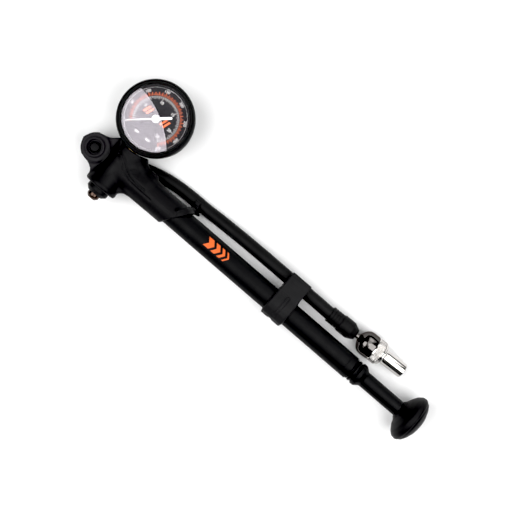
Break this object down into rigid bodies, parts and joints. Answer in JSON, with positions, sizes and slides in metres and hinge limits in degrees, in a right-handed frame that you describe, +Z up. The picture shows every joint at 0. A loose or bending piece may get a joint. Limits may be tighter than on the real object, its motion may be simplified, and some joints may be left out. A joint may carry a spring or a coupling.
{
  "type": "shock suspension pump",
  "caption": "Hand pump for suspension shocks: T-shaped head with round dial gauge and bleed button, slim barrel with sliding plunger and domed knob, swivel hose with screw-on chuck.",
  "frame": {"origin": "centre of the bounding box in plan, at its lowest point", "axes": "+X along the barrel from the head to the knob, +Y from the barrel to the gauge, +Z up out of the dial"},
  "size_m": [0.2822, 0.09, 0.0341],
  "materials": {
    "black_casting": "satin black moulded",
    "black_anodised": "satin black anodised",
    "black_rubber": "matte black",
    "black_hose": "satin black",
    "chrome": "polished",
    "steel": "satin",
    "brass": "satin",
    "copper": "polished",
    "dial_black": "matte",
    "white_paint": "gloss",
    "clear_lens": "clear",
    "piston_plastic": "matte"
  },
  "bodies": {
    "pump": {"head_casting": "black_casting", "barrel_gasket": "black_rubber", "check_valve_seat": "brass", "bleed_collar": "black_casting", "gauge_case": "steel", "gauge_boot": "black_rubber", "gauge_lens": "clear_lens", "dial_plate": "dial_black", "movement_plate": "brass", "bourdon_tube": "brass", "gauge_stem": "brass", "stem_oring": "black_rubber", "barrel": "black_anodised", "barrel_gland": "black_anodised", "rod_bush": "piston_plastic", "rod_wiper": "black_rubber", "hose_clip": "black_rubber"},
    "plunger": {"piston_rod": "steel", "piston": "piston_plastic", "piston_seal": "black_rubber", "piston_wear_ring": "piston_plastic", "handle_sleeve": "black_anodised", "knob": "black_casting"},
    "pointer": {"pointer": "white_paint", "pointer_arbor": "steel", "pinion": "brass"},
    "sector": {"sector_gear": "brass"},
    "bleed_button": {"bleed_button": "copper", "bleed_seal": "black_rubber", "bleed_spring": "steel"},
    "check_ball": {"check_valve_ball": "steel", "check_valve_spring": "steel"},
    "hose": {"swivel_elbow": "black_casting", "swivel_oring_lower": "black_rubber", "swivel_oring_upper": "black_rubber", "swivel_retainer": "steel", "hose_ferrule": "black_anodised", "hose": "black_hose", "hose_boot": "black_rubber", "chuck_body": "chrome", "chuck_retainer": "steel", "chuck_seal": "black_rubber", "valve_pin": "brass"},
    "chuck_nut": {"chuck_nut": "chrome"}
  },
  "joints": [
    {"name": "plunger_slide", "type": "slide", "parent": "pump", "child": "plunger", "axis": [1, 0, 0], "range_m": [0, 0.159]},
    {"name": "pointer_turn", "type": "hinge", "parent": "pump", "child": "pointer", "pos_m": [-0.11385, 0.01985, 0.0177], "axis": [0, 0, -1], "range_deg": [0, 270]},
    {"name": "sector_turn", "type": "hinge", "parent": "pump", "child": "sector", "pos_m": [-0.12701, 0.01506, 0.0177], "axis": [0, 0, 1], "range_deg": [0, 45]},
    {"name": "bleed_press", "type": "slide", "parent": "pump", "child": "bleed_button", "axis": [0, 1, 0], "range_m": [0, 0.0015], "stiffness_N_per_m": 900, "springref_m": -0.001, "deforming": ["bleed_spring"]},
    {"name": "check_lift", "type": "slide", "parent": "pump", "child": "check_ball", "axis": [-1, 0, 0], "range_m": [0, 0.0012], "stiffness_N_per_m": 150, "springref_m": -0.001, "deforming": ["check_valve_spring"]},
    {"name": "hose_swivel", "type": "hinge", "parent": "pump", "child": "hose", "pos_m": [-0.13215, -0.01885, 0.0177], "axis": [0, 0, 1], "range_deg": [0, 180]},
    {"name": "chuck_spin", "type": "hinge", "parent": "hose", "child": "chuck_nut", "pos_m": [0.09262, 0.00023, 0.00813], "axis": [0.9937, 0.0521, -0.0993], "continuous": true}
  ],
  "couplings": [
    {"joint": "sector_turn", "follows": "pointer_turn", "ratio": 0.16667}
  ]
}
